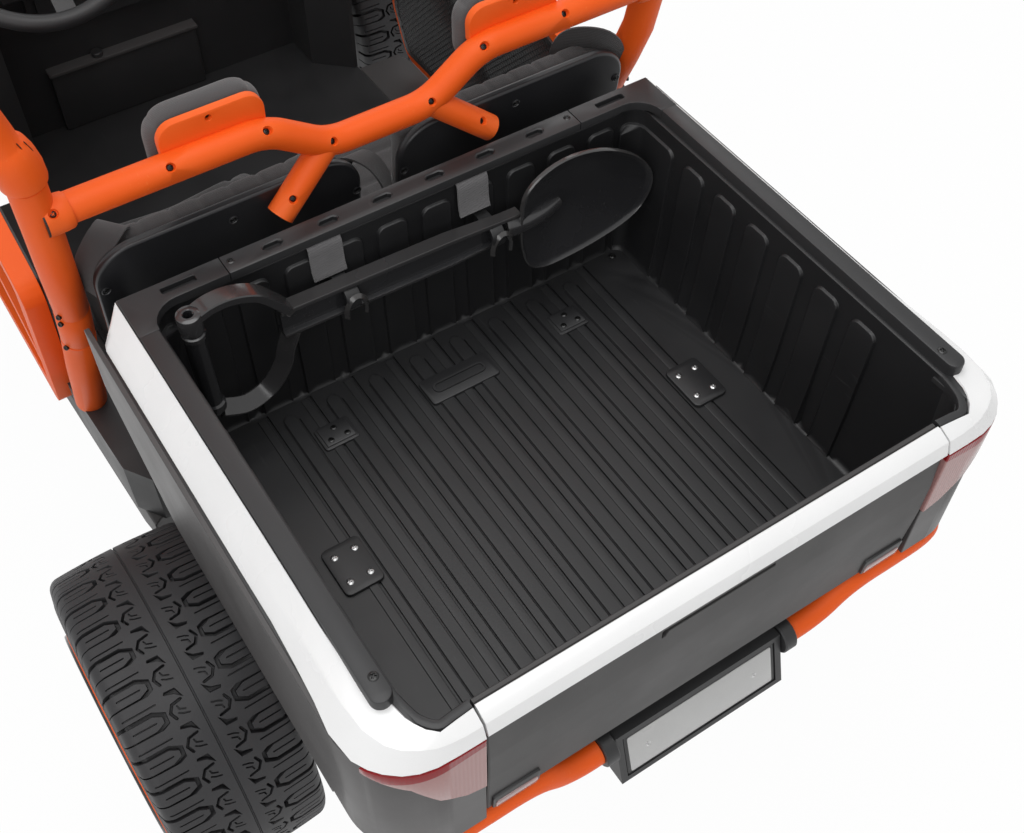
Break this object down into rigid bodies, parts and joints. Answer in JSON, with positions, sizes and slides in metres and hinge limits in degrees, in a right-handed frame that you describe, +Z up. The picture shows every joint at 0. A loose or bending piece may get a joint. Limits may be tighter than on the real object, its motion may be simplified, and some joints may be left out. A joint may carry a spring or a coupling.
{
  "type": "electric ride-on side by side utv for children",
  "caption": "Two-seat battery ride-on toy side by side with an open tube cage, swinging doors, steered front wheels and a load bed with a fold-down tailgate and a shovel.",
  "frame": {"origin": "on the ground under the middle of the whole vehicle's box", "axes": "+X forward, +Y to the left side, +Z up"},
  "size_m": [1.58, 0.902, 0.9049],
  "materials": {
    "tyre": "moulded mud-pattern tyre, matt black",
    "rim": "black moulded wheel with an orange clamp ring",
    "steel": "zinc-plated steel",
    "frame_paint": "black painted steel",
    "black_plastic": "fine-grained black moulding",
    "grey_plastic": "satin charcoal moulding",
    "white_plastic": "gloss white moulding",
    "orange_plastic": "satin orange moulding",
    "mesh": "black panel with a woven print and small holes",
    "seat_fabric": "dark stitched upholstery",
    "red_lens": "red moulded lens",
    "clear_lens": "clear lens"
  },
  "bodies": {
    "body": {"battery": "black_plastic", "bed_caps": "white_plastic", "bed_liner": "black_plastic", "bed_sides": "grey_plastic", "bed_strip": "black_plastic", "bed_tub": "black_plastic", "bonnet": "white_plastic", "bumper_brackets": "frame_paint", "cowls": "black_plastic", "crossbar": "orange_plastic", "dash": "black_plastic", "floor_pan": "black_plastic", "footwell": "black_plastic", "frame": "frame_paint", "front_beam": "frame_paint", "front_bumper": "orange_plastic", "front_fenders": "grey_plastic", "front_pillars": "orange_plastic", "gearboxes": "black_plastic", "grille": "black_plastic", "headlamps": "clear_lens", "headrest_pads": "seat_fabric", "headrest_plates": "orange_plastic", "nose": "black_plastic", "plate_holder": "black_plastic", "quarters": "black_plastic", "rear_axle": "steel", "rear_bumper": "orange_plastic", "rear_panel": "grey_plastic", "rear_posts": "orange_plastic", "roof_bars": "orange_plastic", "roof_rails": "orange_plastic", "seat_backs": "seat_fabric", "seat_base": "black_plastic", "seat_cushions": "seat_fabric", "seat_shells": "black_plastic", "shovel": "black_plastic", "shovel_clips": "black_plastic", "sills": "black_plastic", "steering_column": "black_plastic", "tail_lamps": "red_lens", "webbing": "seat_fabric"},
    "wheel_rear_left": {"tyre_rear_left": "tyre", "rim_rear_left": "rim"},
    "wheel_rear_right": {"tyre_rear_right": "tyre", "rim_rear_right": "rim"},
    "wheel_front_left": {"tyre_front_left": "tyre", "rim_front_left": "rim"},
    "wheel_front_right": {"tyre_front_right": "tyre", "rim_front_right": "rim"},
    "knuckle_left": {"knuckle_left": "steel"},
    "knuckle_right": {"knuckle_right": "steel"},
    "tie_rod": {"tie_rod": "steel"},
    "steering_wheel": {"steering_wheel": "black_plastic"},
    "tailgate": {"tailgate": "grey_plastic", "tailgate_cap": "white_plastic"},
    "door_left": {"door_left": "orange_plastic", "door_mesh_left": "mesh"},
    "door_right": {"door_right": "orange_plastic", "door_mesh_right": "mesh"}
  },
  "joints": [
    {"name": "roll_rear_left", "type": "hinge", "parent": "body", "child": "wheel_rear_left", "pos_m": [-0.432, 0.372, 0.172], "axis": [0, 1, 0], "continuous": true},
    {"name": "roll_rear_right", "type": "hinge", "parent": "body", "child": "wheel_rear_right", "pos_m": [-0.432, -0.372, 0.172], "axis": [0, 1, 0], "continuous": true},
    {"name": "steer_left", "type": "hinge", "parent": "body", "child": "knuckle_left", "pos_m": [0.555, 0.268, 0.172], "axis": [0, 0, 1], "range_deg": [-20, 20]},
    {"name": "steer_right", "type": "hinge", "parent": "body", "child": "knuckle_right", "pos_m": [0.555, -0.268, 0.172], "axis": [0, 0, 1], "range_deg": [-20, 20]},
    {"name": "roll_front_left", "type": "hinge", "parent": "knuckle_left", "child": "wheel_front_left", "pos_m": [0.555, 0.372, 0.172], "axis": [0, 1, 0], "continuous": true},
    {"name": "roll_front_right", "type": "hinge", "parent": "knuckle_right", "child": "wheel_front_right", "pos_m": [0.555, -0.372, 0.172], "axis": [0, 1, 0], "continuous": true},
    {"name": "tie_rod_shift", "type": "slide", "parent": "body", "child": "tie_rod", "axis": [0, 1, 0], "range_m": [-0.021, 0.021]},
    {"name": "steering_wheel_turn", "type": "hinge", "parent": "body", "child": "steering_wheel", "pos_m": [0.262, 0.155, 0.618], "axis": [-0.6428, 0, 0.766], "range_deg": [-60, 60]},
    {"name": "tailgate_fold", "type": "hinge", "parent": "body", "child": "tailgate", "pos_m": [-0.771, 0, 0.399], "axis": [0, -1, 0], "range_deg": [0, 85]},
    {"name": "door_left_swing", "type": "hinge", "parent": "body", "child": "door_left", "pos_m": [0.336, 0.346, 0.45], "axis": [0, 0, -1], "range_deg": [0, 65]},
    {"name": "door_right_swing", "type": "hinge", "parent": "body", "child": "door_right", "pos_m": [0.336, -0.346, 0.45], "axis": [0, 0, 1], "range_deg": [0, 65]}
  ],
  "couplings": [
    {"joint": "steer_right", "follows": "steer_left", "ratio": 1},
    {"joint": "tie_rod_shift", "follows": "steer_left", "m_per_rad": -0.06},
    {"joint": "steering_wheel_turn", "follows": "steer_left", "ratio": 3}
  ]
}
